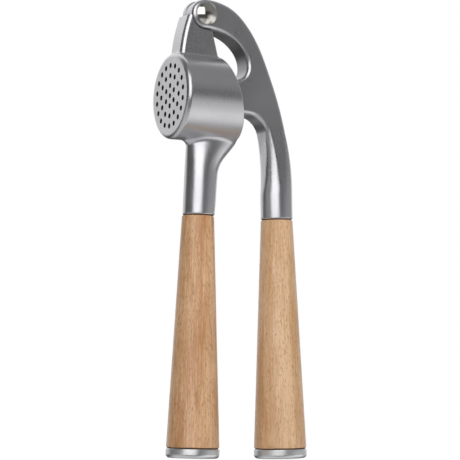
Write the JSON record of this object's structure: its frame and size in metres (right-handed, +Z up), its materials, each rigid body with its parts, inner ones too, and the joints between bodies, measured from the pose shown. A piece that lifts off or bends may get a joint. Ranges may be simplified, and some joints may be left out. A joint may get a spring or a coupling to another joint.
{
  "type": "garlic press",
  "caption": "Garlic press with a round sieve hopper on one lever, a hinged plunger on the other, and two tapered wooden handles with metal end caps.",
  "frame": {"origin": "centre of the bounding box at its bottom, where the end caps stand on the table", "axes": "+Z up the hopper lever's handle, +Y along the pivot pin away from its domed head, +X from the hopper lever towards the plunger lever"},
  "size_m": [0.0694, 0.0374, 0.1991],
  "materials": {
    "cast_metal": "satin",
    "polished_steel": "polished",
    "plain_steel": "turned",
    "beech_dark": "oiled",
    "beech_light": "oiled",
    "dark_seal": "matt"
  },
  "bodies": {
    "hopper": {"hopper_lever": "cast_metal", "hopper_handle": "beech_dark", "hopper_end_cap": "cast_metal", "hopper_stud": "plain_steel", "hopper_top_seal": "dark_seal", "hopper_bottom_seal": "dark_seal"},
    "lever": {"plunger_lever": "cast_metal", "lever_handle": "beech_light", "lever_end_cap": "cast_metal", "lever_stud": "plain_steel", "lever_top_seal": "dark_seal", "lever_bottom_seal": "dark_seal", "pivot_pin": "polished_steel", "pivot_nut": "polished_steel"},
    "plunger": {"plunger": "cast_metal", "plunger_pin": "polished_steel"}
  },
  "joints": [
    {"name": "lever_pivot", "type": "hinge", "parent": "hopper", "child": "lever", "pos_m": [-0.02066, 0, 0.1925], "axis": [0, -1, 0], "range_deg": [-5, 100]},
    {"name": "plunger_swivel", "type": "hinge", "parent": "lever", "child": "plunger", "pos_m": [-0.01708, 0, 0.15617], "axis": [0, -1, 0], "range_deg": [-10, 1]}
  ],
  "couplings": [
    {"joint": "plunger_swivel", "follows": "lever_pivot", "ratio": -0.1}
  ]
}
